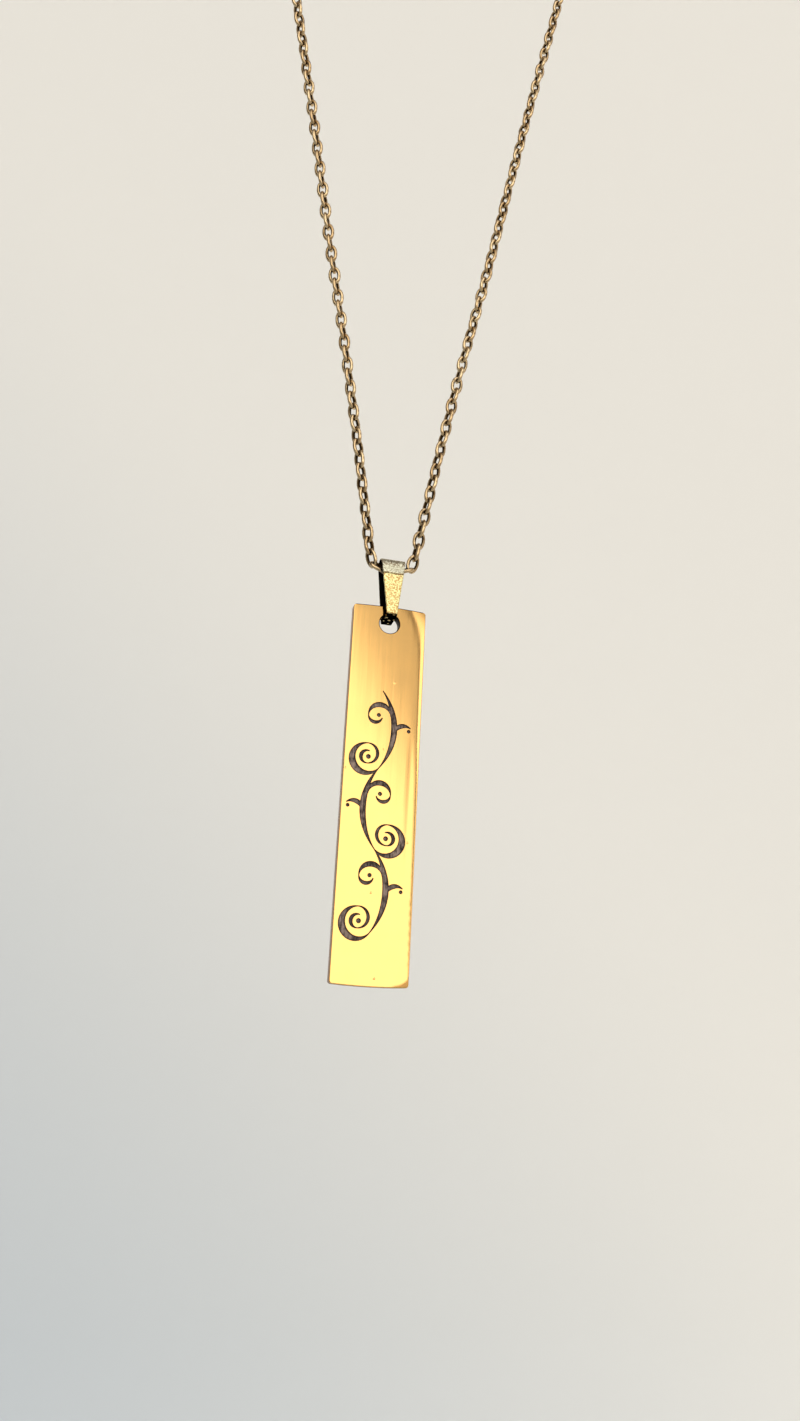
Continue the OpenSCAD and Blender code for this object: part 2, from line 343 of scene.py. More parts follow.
def outline(pull):
    right = quarter_outline()
    left = [(-x, z, -nx, nz) for x, z, nx, nz in right[-2::-1]]
    upper = right + left
    lower = [(-x, -z, -nx, -nz) for x, z, nx, nz in upper[1:-1]]
    return [(x - nx * pull, z - nz * pull) for x, z, nx, nz in upper + lower]


print("outline points:", len(outline(0)), " bowed ends on a radius of", round(CROWN_R, 1), "mm")

# %% [markdown]
# The engraving is an ornament made for this bar: a vine in three waves, each a long stem that
# ends in a curl, with smaller curls and buds. Every stroke is a cut along an arc that swells from
# a hairline to its full width and thins out again, as a pen stroke does. The table holds the same
# arcs as the CAD source, in shares of one wave's length.

# %% The vine's strokes
WAVE, VINE_TOP, VINE_X, CUT_W, HAIR_W, CUT_DEPTH = 8.4, 9.6, -0.3, 0.78, 0.12, 0.12
BOW = 0.17
STEM_R = (0.25 + BOW ** 2) / (2 * BOW)
STEM = degrees(asin(0.5 / STEM_R))
CURL = (0.19, 0.128, 0.081)
CURL_X = -CURL[0] * cos(radians(STEM))
CURL_Y = -1 + CURL[0] * sin(radians(STEM))
# Columns: centre x, centre y, radius, first angle, last angle, width
CUTS = (
    (BOW - STEM_R, -0.5, STEM_R, STEM, -STEM, 0.85),
    (CURL_X, CURL_Y, CURL[0], -STEM, -270, 1),
    (CURL_X, CURL_Y + CURL[0] - CURL[1], CURL[1], 90, -90, 0.38),
    (CURL_X, CURL_Y + CURL[0] - 2 * CURL[1] + CURL[2], CURL[2], -90, -290, 0.46),
    (-0.024, -0.327, 0.143, 0, 180, 0.72),
    (-0.076, -0.327, 0.09, 180, 345, 0.44),
    (0.298, -0.56, 0.131, 180, 52, 0.62))
# Columns: centre x, centre y, radius
BUDS = ((CURL_X + 0.014, -0.866, 0.031), (-0.036, -0.321, 0.027), (0.357, -0.494, 0.024))
# Half the width from which a stroke's floor gets points of its own
DETAIL_HALF = 0.13


def vine(steps=26):
    # Closed outlines of all strokes, and points inside them where the floor needs detail
    shapes, inside = [], []
    for wave in range(3):
        flip, top = (-1) ** wave, BAR_H / 2 - VINE_TOP - wave * WAVE
        for cx, cy, r, first, last, share in CUTS:
            rows = []
            for side in (1, 0.45, -0.45, -1):
                row = []
                for i in range(steps + 1):
                    t = i / steps
                    half = (HAIR_W + (CUT_W - HAIR_W) * share * max(0, sin(pi * t)) ** 1.3) / 2
                    reach, a = WAVE * r + side * half, radians(first + (last - first) * t)
                    row.append((VINE_X + flip * (WAVE * cx + reach * cos(a)),
                                top + WAVE * cy + reach * sin(a), half))
                rows.append(row)
            shapes.append([p[:2] for p in rows[0]] + [p[:2] for p in reversed(rows[3])])
            inside += [p[:2] for row in rows[1:3] for p in row if p[2] > DETAIL_HALF]
        for cx, cy, r in BUDS:
            ring = [(cx + r * cos(a), cy + r * sin(a)) for a in (tau * i / 16 for i in range(16))]
            shapes.append([(VINE_X + flip * WAVE * x, top + WAVE * y) for x, y in ring])
            inside.append((VINE_X + flip * WAVE * cx, top + WAVE * cy))
    return shapes, inside


strokes, stroke_points = vine()
print("vine:", len(strokes), "strokes and", len(stroke_points), "points inside them")

# %% [markdown]
# A polished bar is not quite flat. The mop wears down its margins and then the edge itself, and
# this is why a bright and a dark line run down its right side. The wear is a formula, so the exact
# direction of the face is known at every point.

# %% The worn margins
# How wide the worn band is, how deep, and where it turns round the upper right corner
ROLL, WEAR, TURN_X, TURN_Z, TURN_FROM = 1.3, 0.05, 3.4, 6.6, 5.2
# A shallow trough beside the right edge: its place, half width and depth
TROUGH_X, TROUGH_W, TROUGH = 0.93, 0.2, 0.005
# The wear of the lower right corner: its reach, width and depth
FOOT_REACH, FOOT_ROLL, FOOT_WEAR = 1.2, 0.6, 0.09


def fade(value, first, last):
    # A smooth step from 0 at the first value to 1 at the last
    share = max(0.0, min(1.0, (value - first) / (last - first)))
    return share * share * (3 - 2 * share)


def worn(x, z):
    # Depth of the mop's wear at a point of the face
    centre_x, centre_z = BAR_W / 2 - TURN_X, end_height(0) - TURN_FROM
    across, up = max(0.0, (x - centre_x) / TURN_X), max(0.0, (z - centre_z) / TURN_Z)
    gap = TURN_X * (1 - hypot(across, up))
    depth = WEAR * (0.04 + 0.96 * fade(z, 0, 6)) * ROLL / 3 * max(0, 1 - gap / ROLL) ** 3
    trough = fade(z, -10, -6) * (1 - fade(z, 3, 7))
    depth += trough * TROUGH * exp(-((BAR_W / 2 - x - TROUGH_X) / TROUGH_W) ** 2 / 2)
    corner = FOOT_REACH - hypot(max(0, x - BAR_W / 2 + FOOT_REACH), max(0, -z - end_height(x) + FOOT_REACH))
    foot = FOOT_WEAR * FOOT_ROLL / 3 * max(0, 1 - corner / FOOT_ROLL) ** 3
    return depth + foot * fade(x, 1.5, 3.5)


def level(x, z, front, sink=0.0):
    # Where the worn face lies, less a given depth
    return front * (BAR_T / 2 - worn(x, z) - sink)


def face_normal(x, z, front, step=0.004):
    slope_x = worn(x + step, z) - worn(x - step, z)
    slope_z = worn(x, z + step) - worn(x, z - step)
    return Vector((slope_x, front * 2 * step, slope_z)).normalized()


print("wear at the upper right corner, mm:", round(worn(CORNER_X, end_height(CORNER_X)), 4))

# %% [markdown]
# Each face is a sheet of triangles that holds the outline, the hole and the strokes exactly, with
# free points that lie closer together where the face bends. The triangulation takes the inside of
# a loop to be on its left, so each loop runs counterclockwise.

# %% The triangles of a face
EDGE_R, RIM_R, HOLE_SIDES = 0.1, 0.09, 48
# Rows of free points: in from the right side, down from the top end, and near the lower end
SIDE_ROWS = (0.15, 0.2, 0.25, 0.32, 0.4, 0.48, 0.57, 0.66, 0.75, 0.84, 0.93, 1.02, 1.11, 1.2, 1.3, 1.5)
TOP_ROWS = (0.16, 0.3, 0.45, 0.6, 0.8, 1.0, 1.25, 1.5, 1.8, 2.1, 2.5, 2.9, 3.4)
FOOT_ROWS = (-18, -18.5, -18.7, -18.85, -19, -19.15, -19.3, -19.45, -19.6, -19.74)


def face_grid():
    xs = [BAR_W / 2 - m for m in SIDE_ROWS] + [2.2, 1.9, 1.6, 1.3, 1.0, 0.6, 0.3, 0, -1, -2, -3, -3.6]
    zs = [end_height(0) - m - 0.05 for m in TOP_ROWS] + [16 - 0.6 * i for i in range(45)]
    zs += [*range(-11, -18, -1), *FOOT_ROWS]
    return [(x, z) for x in xs for z in zs if abs(z) < end_height(x) - 0.16]


def hole_row(radius):
    return [(cos(a) * radius, HOLE_Z - BAR_Z + sin(a) * radius)
            for a in (tau * i / HOLE_SIDES for i in range(HOLE_SIDES))]


def distance_to(points):
    # A function that measures the way from a place to the nearest of the points
    tree = kdtree.KDTree(len(points))
    for i, p in enumerate(points):
        tree.insert((*p, 0), i)
    tree.balance()
    return lambda p: tree.find((*p, 0))[2]


def turns_left(loop):
    return sum(ax * by - bx * ay for (ax, ay), (bx, by) in zip(loop, loop[1:] + loop[:1])) > 0


def bar_sheet(cuts, cut_points):
    # Points, and triangles of three indices each with a mark for those inside a cut
    loops = [outline(EDGE_R), hole_row(HOLE_R + RIM_R)] + cuts
    loops = [loop if turns_left(loop) else loop[::-1] for loop in loops]
    coords, faces = [], []
    for loop in loops:
        faces.append(list(range(len(coords), len(coords) + len(loop))))
        coords += loop
    away = distance_to(coords)
    coords += [p for p in face_grid() if away(p) > 0.09] + cut_points
    out = delaunay_2d_cdt([Vector(p) for p in coords], [], faces, 0, 1e-6, True)
    places, triangles, origin = out[0], out[2], out[5]
    # Loop 0 is the outline, loop 1 the hole, and the others are cuts
    kept = [(tuple(t), any(o > 1 for o in own)) for t, own in zip(triangles, origin)
            if 0 in own and 1 not in own]
    return [tuple(p) for p in places], kept


print("free points on a face:", len(face_grid()))

# %% [markdown]
# Triangles inside a stroke sink to the cut's floor, and short walls join them to the face. Three
# rows round off the edge and the hole's rim, and one more row joins front to back. A painted dark
# shade colours the hole's wall and the rounded upper edge.

# %% The bar
FACE, SIDE, CUT, DARK_SHADE = range(4)


def band(upper, lower):
    # Faces that join two closed rows with the same number of points
    return [list(face) for face in zip(upper, upper[1:] + upper[:1], lower[1:] + lower[:1], lower)]


def build_bar():
    points, faces, slots, walls = [], [], [], []
    index, ends = {}, {"edge": [], "rim": []}

    def vertex(x, y, z, from_wall=0.0):
        key = (round(x, 5), round(y, 5), round(z, 5))
        if key not in index:
            index[key] = len(points)
            points.append((x, y, z + BAR_Z))
            walls.append(from_wall)
        return index[key]

    for front in (-1, 1):
        places, kept = bar_sheet(strokes, stroke_points) if front < 0 else bar_sheet([], [])
        sides = {}
        for t, sunk in kept:
            for a, b in zip(t, t[1:] + t[:1]):
                sides.setdefault(frozenset((a, b)), []).append(sunk)
        rims = [tuple(edge) for edge, flags in sides.items() if len(set(flags)) == 2]
        along_rims = [Vector(places[a]).lerp(Vector(places[b]), k / 2) for a, b in rims for k in range(3)]
        away = distance_to(along_rims) if rims else (lambda p: 0.0)
        floor = front * (BAR_T / 2 - CUT_DEPTH)
        for t, sunk in kept:
            faces.append([vertex(places[i][0], floor if sunk else level(*places[i], front),
                                 places[i][1], away(places[i]) * sunk) for i in t])
            slots.append(CUT if sunk else FACE)
        for a, b in rims:
            (ax, az), (bx, bz) = places[a], places[b]
            faces.append([vertex(ax, level(ax, az, front), az), vertex(bx, level(bx, bz, front), bz),
                          vertex(bx, floor, bz), vertex(ax, floor, az)])
            slots.append(CUT)
        for kind, radius in (("edge", EDGE_R), ("rim", RIM_R)):
            rows = []
            for a in (radians(90 - 30 * step) for step in range(4)):
                pull, sink = radius * (1 - cos(a)), radius * (1 - sin(a))
                row = outline(pull) if kind == "edge" else hole_row(HOLE_R + pull)
                rows.append([vertex(x, level(x, z, front, sink), z) for x, z in row])
            for upper, lower in zip(rows, rows[1:]):
                faces += band(upper, lower)
                for x, _, z in (points[i] for i in upper):
                    # The hole's rim and the rounded upper edge take the painted dark shade
                    top = z - BAR_Z > end_height(0) - 0.4 and abs(x) < CORNER_X
                    slots.append(DARK_SHADE if kind == "rim" or top else FACE)
            ends[kind].append(rows[-1])
    for kind, slot in (("edge", SIDE), ("rim", DARK_SHADE)):
        faces += band(*ends[kind])
        slots += [slot] * len(ends[kind][0])
    made = solid("nameplate_polished", points, faces, [bar_face, shaded_side, engraved, dark_shade_gold], slots,
                 sharp=35, values={"from_wall": walls})
    normals = [Vector()] * len(made.data.loops)
    for polygon in made.data.polygons:
        for corner in polygon.loop_indices if polygon.material_index == FACE else ():
            x, y, z = made.data.vertices[made.data.loops[corner].vertex_index].co / MM
            front = -1 if y < 0 else 1
            if abs(y - level(x, z - BAR_Z, front)) < 1e-4:
                normals[corner] = face_normal(x, z - BAR_Z, front)
    made.data.normals_split_custom_set(normals)
    return made


bar = build_bar()
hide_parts("nameplate")
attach(bar, "plate")

# %% [markdown]
# The bail is a strip of the same brass, folded over the chain and closed through the bar's hole.
# It was stamped with a rough grain and barely polished, so it looks mottled: pale gold with
# orange-brown specks where the plating is thin. A painted shade browns its inside, its undersides,
# the crease and the top of the fold, and turns the tips in the hole black; there the metal is also
# kept from shining at a slant. Below the crease the leg is a little browner, and the fold is a
# paler, greyer gold. On the tips, small specks are left out of the painted shade.

# %% The bail's grained gold
TIP_Z, LEG_Z = -205.9, -205.6
grained, tree, shader, at = material("gilt_brass_stamped_grain")
grain = add(tree, "ShaderNodeTexNoise", {
    "Vector": at, "Scale": 1 / (0.17 * MM), "Detail": 4.0, "Roughness": 0.65})
fleck = add(tree, "ShaderNodeTexVoronoi", {"Vector": at, "Scale": 1 / (0.6 * MM)})
spots = add(tree, "ShaderNodeMapRange", {
    "Value": fleck, "From Min": 0.12, "From Max": 0.3, "To Min": 0.8, "To Max": 0.0})
mottle = add(tree, "ShaderNodeMapRange", {"Value": grain, "From Min": 0.44, "From Max": 0.6})
thin = add(tree, "ShaderNodeMath", {0: spots, 1: mottle}, operation="MAXIMUM")
# The bail's painted shade, stored on its points, browns and then blackens the metal
shade_amount = add(tree, "ShaderNodeAttribute", attribute_name="painted_shade").outputs["Fac"]
ragged = add(tree, "ShaderNodeMath", {0: grain, 1: 0.9, 2: shade_amount}, operation="MULTIPLY_ADD")
brown = add(tree, "ShaderNodeMapRange", {"Value": ragged, "From Min": 0.6, "From Max": 0.95})
dark = add(tree, "ShaderNodeMapRange", {"Value": ragged, "From Min": 0.9, "From Max": 1.15})
height = add(tree, "ShaderNodeSeparateXYZ", {0: at}).outputs[2]
above = add(tree, "ShaderNodeMapRange", {"Value": height, "From Min": TIP_Z * MM, "From Max": LEG_Z * MM})
speck = add(tree, "ShaderNodeMapRange", {"Value": fleck, "From Min": 0.2, "From Max": 0.3})
kept = add(tree, "ShaderNodeMath", {0: speck, 1: above}, operation="MAXIMUM")
shade_brown = add(tree, "ShaderNodeMath", {0: brown, 1: kept}, operation="MULTIPLY")
shade_black = add(tree, "ShaderNodeMath", {0: dark, 1: kept}, operation="MULTIPLY")
bend = add(tree, "ShaderNodeAttribute", attribute_name="bend").outputs["Fac"]
leg = add(tree, "ShaderNodeMix", {
    "Factor": thin, 6: linear("#FCF6B2"), 7: linear("#CB9650")}, data_type="RGBA")
pale = add(tree, "ShaderNodeMix", {
    "Factor": mottle, 6: linear("#DCDAC0"), 7: linear("#A0957A")}, data_type="RGBA")
tint = leg
# Painted shade: brown first, then near black
for share, colour in ((bend, pale), (shade_brown, linear("#6E5138")), (shade_black, linear("#0B0807"))):
    tint = add(tree, "ShaderNodeMix", {"Factor": share, 6: tint, 7: colour}, data_type="RGBA")
# Where the painted shade is black, the metal doesn't shine at a slant either
glance = add(tree, "ShaderNodeMix", {
    "Factor": shade_black, 6: linear("#FFFFFF"), 7: linear("#000000")}, data_type="RGBA")
rough = add(tree, "ShaderNodeMapRange", {"Value": grain, "To Min": 0.25, "To Max": 0.55})
bump = add(tree, "ShaderNodeBump", {"Height": grain, "Strength": 0.8, "Distance": 0.03 * MM})
fill(shader, {
    "Base Color": tint, "Metallic": 1.0, "Roughness": rough, "Normal": bump, "Specular Tint": glance})
print("material:", grained.name)

# %% [markdown]
# Seen from the side the strip is one path: in from the hole, round a tight bend, up the front leg,
# over the fold and down again. A rounded rectangle is carried along this path, and it narrows from
# 2.8 mm at the fold to 1.17 mm at the tips. A shallow crease marks where the fold ends and the
# flat leg begins.

# %% The bail
CHAIN_Z, STRIP_T, FOLD_R, SPREAD, DROP = -200.0, 0.35, 0.995, 3.4, 5.95
TOP_HALF, TIP_HALF, TIP_GAP, BEND_R, STRIP_EDGE_R = 1.4, 0.585, 0.12, 0.3, 0.1
CREASE_Z, CREASE_DEPTH, NARROW_Z = -0.85, 0.05, -5.5
# The legs leave the fold on a tangent and end at the full spread
LEG_TILT = acos((FOLD_R + STRIP_T / 2) / hypot(SPREAD / 2, DROP)) - atan2(DROP, SPREAD / 2)


def bail_path():
    # Right half in the (y, z) plane with the chain at 0, from the tip up to the top of the fold
    def leg(s):
        return (FOLD_R * cos(LEG_TILT) + s * sin(LEG_TILT),
                FOLD_R * sin(LEG_TILT) - s * cos(LEG_TILT))

    low = -DROP + STRIP_T / 2
    leg_end = (FOLD_R * sin(LEG_TILT) - low) / cos(LEG_TILT)
    turn = pi / 2 + LEG_TILT
    cut = BEND_R * tan(turn / 2)
    centre = (leg(leg_end)[0] - cut, low + BEND_R)
    path = [(TIP_GAP / 2 + t * (centre[0] - TIP_GAP / 2), low) for t in (0, 0.08, 0.4, 0.75)]
    path += [(centre[0] + BEND_R * sin(turn * i / 8), centre[1] - BEND_R * cos(turn * i / 8))
             for i in range(9)]
    crease = (FOLD_R * sin(LEG_TILT) - CREASE_Z) / cos(LEG_TILT)
    heights = [(leg_end - cut) * (1 - i / 14) for i in range(1, 14)]
    heights += [crease + d for d in (-0.12, -0.05, 0, 0.05, 0.12)]
    path += [leg(s) for s in sorted(heights, reverse=True)]
    path += [(FOLD_R * cos(a), FOLD_R * sin(a))
             for a in (LEG_TILT + (pi / 2 - LEG_TILT) * i / 10 for i in range(11))]
    return path


def strip_section(half, groove):
    # A rounded rectangle as (across, outwards), with the groove pressed into its outer side
    r, rows = STRIP_EDGE_R, []
    for cx, cn, first in ((1, 1, 0), (-1, 1, 90), (-1, -1, 180), (1, -1, 270)):
        for step in range(4):
            a = radians(first + 30 * step)
            out = cn * (STRIP_T / 2 - r) + r * sin(a)
            rows.append((cx * (half - r) + r * cos(a), out - (groove if cn > 0 else 0)))
    return rows


def tube(rings, ring, closed=False):
    # Faces of a tube whose rings of points follow each other in a list, capped unless closed
    rows = [list(range(i * ring, (i + 1) * ring)) for i in range(rings)]
    faces = [face for upper, lower in zip(rows, rows[1:]) for face in band(upper, lower)]
    return faces + (band(rows[-1], rows[0]) if closed else [rows[0], rows[-1]])


def build_bail():
    half = bail_path()
    path = [(-y, z) for y, z in half] + half[-2::-1]
    points, painted_shade, bend = [], [], []
    for i, (y, z) in enumerate(path):
        before, after = path[max(0, i - 1)], path[min(len(path) - 1, i + 1)]
        along = Vector((after[0] - before[0], after[1] - before[1])).normalized()
        out = Vector((-along.y, along.x))
        width = TIP_HALF + (TOP_HALF - TIP_HALF) * (z - NARROW_Z) / (FOLD_R + STRIP_T / 2 - NARROW_Z)
        groove = CREASE_DEPTH * max(0, 1 - abs(z - CREASE_Z) / 0.1)
        for across, outwards in strip_section(max(TIP_HALF, width), groove):
            points.append((across, y + out.x * outwards, CHAIN_Z + z + out.y * outwards))
            # Painted shade on the strip's inner side, the fold's top, the crease and faces that point down;
            # a little browning below the crease
            inner = fade(outwards / STRIP_T, 0.3, -0.2)
            under = fade(out.y, -0.2, -0.7)
            painted_shade.append(max(inner, 0.28 * fade(z, -0.1, 0.2), 0.4 * (groove > 0.02),
                               0.2 * fade(z, CREASE_Z - 0.9, CREASE_Z) * (z < CREASE_Z), under))
            bend.append(fade(z, CREASE_Z, CREASE_Z + 0.15))
    return solid("bail_folded", points, tube(len(path), 16), [grained], sharp=50,
                 values={"painted_shade": painted_shade, "bend": bend})


bail = build_bail()
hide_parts("bail")
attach(bail, "bail")

# %% [markdown]
# The chain is a drawn cable chain in brass with an antique finish: the links are dipped dark and
# then tumbled, which brightens what sticks out and leaves the insides brown, and the dark insides
# also carry a painted shade between the links. Each link carries this as a value on its points,
# from 0 on its inner side to 1 on its outer side, and a "tone" of its own, because no two links
# come out of the drum alike. Near the bail more of the dark is left, as a painted shade.

# %% Antique brass for the chain
# Painted shade on the chain starts at the first height and is full at the second, near the bail
SHADE_START_Z, SHADE_FULL_Z = -175, -195
antique, tree, shader, at = material("antique_brass_tumbled")
stain = add(tree, "ShaderNodeTexNoise", {"Vector": at, "Scale": 1 / (0.5 * MM), "Detail": 3.0})
rubbed_and_lit = add(tree, "ShaderNodeAttribute", attribute_name="rubbed_and_lit").outputs["Fac"]
tone = add(tree, "ShaderNodeAttribute", attribute_name="tone").outputs["Fac"]
# Bright where the wire faces out, dark on its inner side: tumbled wear and a painted shade
worn_and_lit = add(tree, "ShaderNodeMath", {0: stain, 1: 0.7, 2: rubbed_and_lit}, operation="MULTIPLY_ADD")
height = add(tree, "ShaderNodeSeparateXYZ", {0: at}).outputs[2]
# Painted shade: the chain darkens towards the bail
shade_near_bail = add(tree, "ShaderNodeMapRange", {
    "Value": height, "From Min": SHADE_START_Z * MM, "From Max": SHADE_FULL_Z * MM, "To Max": 0.2})
left = add(tree, "ShaderNodeMath", {0: worn_and_lit, 1: shade_near_bail}, operation="SUBTRACT")
lit_and_clean = add(tree, "ShaderNodeMapRange", {"Value": left, "From Min": 0.6, "From Max": 1.15},
            interpolation_type="SMOOTHSTEP")
bright = add(tree, "ShaderNodeMix", {
    "Factor": tone, 6: linear("#C0A074"), 7: linear("#DCC196")}, data_type="RGBA")
tint = add(tree, "ShaderNodeMix", {"Factor": lit_and_clean, 6: linear("#33230F"), 7: bright}, data_type="RGBA")
rough = add(tree, "ShaderNodeMapRange", {"Value": lit_and_clean, "To Min": 0.45, "To Max": 0.16})
fill(shader, {"Base Color": tint, "Metallic": 1.0, "Roughness": rough})
print("material:", antique.name)

# %% [markdown]
# The chain follows the route of the CAD's tube: a table for the right half, a mirror for the left,
# and a smooth cubic span between every two points. At its top it ends in the jump rings.

# %% The chain's route
ROUTE = ((0, -200), (1.3, -200), (2.0, -199.7), (2.4, -199), (2.6, -198), (2.9, -196), (3.6, -192),
         (4.6, -186), (5.7, -180), (7.0, -173), (9.8, -159), (12.6, -144), (15.5, -129), (18.5, -114),
         (21.5, -99), (24.5, -84), (27.6, -69), (30.6, -54), (33.25, -40), (33.94, -33), (32.95, -25),
         (29.5, -16.3), (24, -9.2), (17, -3.8), (12.3, -1.5), (7.3, 0))
JUMP_IN, JUMP_WIRE, HOOKED_X = 2.1, 0.45, 6.2
# Lower than this the route is out of a jump ring's reach
CLOSURE_Z = -20


def smooth_route(steps=24):
    stops = [Vector((-x, z)) for x, z in ROUTE[:0:-1]] + [Vector(p) for p in ROUTE]
    count, line, heads = len(stops), [], []
    for i in range(count):
        before = stops[i] - stops[i - 1] if i else stops[1] - stops[0]
        after = stops[i + 1] - stops[i] if i < count - 1 else before
        heads.append((after.length * before.normalized() + before.length * after.normalized()).normalized())
    for i in range(count - 1):
        a, b, far = stops[i], stops[i + 1], (stops[i + 1] - stops[i]).length
        for t in (k / steps for k in range(steps)):
            line.append(a * (1 + 2 * t) * (1 - t) ** 2 + b * t * t * (3 - 2 * t)
                        + far * (heads[i] * t * (1 - t) ** 2 - heads[i + 1] * t * t * (1 - t)))
    line.append(stops[-1])
    hooked = Vector((HOOKED_X, 0))
    half = [p for p in line[len(line) // 2:]
            if p.x < HOOKED_X or p.y < CLOSURE_Z or (p - hooked).length > JUMP_IN]
    return [Vector((-p.x, p.y)) for p in half[:0:-1]] + half


route = smooth_route()
route_length = sum((b - a).length for a, b in zip(route, route[1:]))
print("route between the jump rings, mm:", round(route_length, 2))

# %% [markdown]
# Nearly three hundred equal links along a line are a job for Geometry Nodes. The tree cuts the
# route into equal steps, puts one link in the middle of each, points it along its step and turns
# every second one by a quarter turn. A link is as long inside as one step, so it hangs in the
# next, wire against wire. It is a circle of 16 points pulled apart into an oval, with a six-sided
# wire: small, because it repeats so often. Each link also rolls a little by chance, the strands
# twist opposite ways beside the bail, and a slow noise makes the roll drift lower down.

# %% The tree that strings the links
LINK_STEP, LINK_LENGTH, LINK_WIDTH, LINK_WIRE = 1.5, 2.36, 1.53, 0.43
STEADY_Z, DRIFTING_Z, DRIFT_LENGTH, STRAND_X = -100, -130, 20, 2.5
tree = bpy.data.node_groups.new("cable_links", "GeometryNodeTree")
sockets = {}
for name, kind, value in (
        ("Route", "Geometry", None), ("Links", "Int", 285),
        ("Link length", "Float", LINK_LENGTH * MM), ("Link width", "Float", LINK_WIDTH * MM),
        ("Wire", "Float", LINK_WIRE * MM), ("Roll", "Float", radians(-50)),
        ("Twist", "Float", radians(13.6)), ("Play", "Float", radians(5)),
        ("Seed", "Int", 7), ("Drift", "Float", radians(110)), ("Drift place", "Float", 1.4)):
    sockets[name] = tree.interface.new_socket(name, in_out="INPUT", socket_type="NodeSocket" + kind)
    if value is not None:
        sockets[name].default_value = value
tree.interface.new_socket("Chain", in_out="OUTPUT", socket_type="NodeSocketGeometry")
given = add(tree, "NodeGroupInput").outputs
here = add(tree, "GeometryNodeInputPosition")
place = add(tree, "ShaderNodeSeparateXYZ", {0: here}).outputs
# The middles of equal steps along the route, each with the way that the route takes there
line = add(tree, "GeometryNodeMeshToCurve", {"Mesh": given["Route"]})
stops = add(tree, "ShaderNodeMath", {0: given["Links"], 1: 1}, operation="ADD")
even = add(tree, "GeometryNodeResampleCurve", {"Curve": line, "Count": stops})
steps = add(tree, "GeometryNodeCurveToMesh", {"Curve": even})
ends = add(tree, "GeometryNodeInputMeshEdgeVertices").outputs
way = add(tree, "ShaderNodeVectorMath", {0: ends["Position 2"], 1: ends["Position 1"]},
          operation="SUBTRACT")
marked = add(tree, "GeometryNodeStoreNamedAttribute", {"Geometry": steps, "Name": "way", "Value": way},
             data_type="FLOAT_VECTOR", domain="EDGE")
middles = add(tree, "GeometryNodeMeshToPoints", {"Mesh": marked}, mode="EDGES")
# One link along X, and how far its wire faces outwards, which sets its wear and painted shade
across = add(tree, "ShaderNodeMath", {0: given["Link width"], 1: given["Wire"]}, operation="SUBTRACT")
longer = add(tree, "ShaderNodeMath", {0: given["Link length"], 1: given["Link width"]},
             operation="SUBTRACT")
wire_r, mean_r, pull = (add(tree, "ShaderNodeMath", {0: whole, 1: 0.5}, operation="MULTIPLY")
                        for whole in (given["Wire"], across, longer))
reach = add(tree, "ShaderNodeMath", {0: mean_r, 1: 0.9}, operation="MULTIPLY")
share = add(tree, "ShaderNodeMath", {0: place[0], 1: reach}, operation="DIVIDE")
side = add(tree, "ShaderNodeClamp", {"Value": share, "Min": -1.0, "Max": 1.0})
shift = add(tree, "ShaderNodeMath", {0: side, 1: pull}, operation="MULTIPLY")
moved = add(tree, "ShaderNodeCombineXYZ", {0: shift})
circle = add(tree, "GeometryNodeCurvePrimitiveCircle", {"Resolution": 16, "Radius": mean_r})
oval = add(tree, "GeometryNodeSetPosition", {"Geometry": circle, "Offset": moved})
section = add(tree, "GeometryNodeCurvePrimitiveCircle", {"Resolution": 6, "Radius": wire_r})
link = add(tree, "GeometryNodeCurveToMesh", {"Curve": oval, "Profile Curve": section})
core = add(tree, "ShaderNodeVectorMath", {0: here, 1: moved}, operation="SUBTRACT")
outward = add(tree, "ShaderNodeVectorMath", {0: core}, operation="NORMALIZE")
normal = add(tree, "GeometryNodeInputNormal")
facing = add(tree, "ShaderNodeVectorMath", {0: normal, 1: outward}, operation="DOT_PRODUCT")
rubbed_and_lit = add(tree, "ShaderNodeMapRange", {"Value": facing, "From Min": -1.0, "From Max": 0.85})
smooth = add(tree, "GeometryNodeSetShadeSmooth", {"Geometry": link})
dressed = add(tree, "GeometryNodeStoreNamedAttribute", {
    "Geometry": smooth, "Name": "rubbed_and_lit", "Value": rubbed_and_lit}, data_type="FLOAT", domain="POINT")
# The roll of each link: a quarter turn for every second one, its play, the twist and the drift
number = add(tree, "GeometryNodeInputIndex")
odd = add(tree, "ShaderNodeMath", {0: number, 1: 2}, operation="MODULO")
loose = add(tree, "FunctionNodeRandomValue", {
    2: -1.0, 3: 1.0, "ID": number, "Seed": given["Seed"]}, data_type="FLOAT")
strand = add(tree, "ShaderNodeMapRange", {
    "Value": place[0], "From Min": STRAND_X * MM, "From Max": -STRAND_X * MM, "To Min": -1.0})
slow = add(tree, "ShaderNodeTexNoise", {
    "Vector": here, "W": given["Drift place"], "Scale": 1 / (DRIFT_LENGTH * MM), "Detail": 0.0},
    noise_dimensions="4D")
either = add(tree, "ShaderNodeMath", {0: slow, 1: 0.5}, operation="SUBTRACT")
drift = add(tree, "ShaderNodeMapRange", {
    "Value": place[2], "From Min": STEADY_Z * MM, "From Max": DRIFTING_Z * MM, "To Max": given["Drift"]})
roll = given["Roll"]
for share, angle in ((odd, pi / 2), (loose, given["Play"]), (strand, given["Twist"]), (either, drift)):
    roll = add(tree, "ShaderNodeMath", {0: share, 1: angle, 2: roll}, operation="MULTIPLY_ADD")
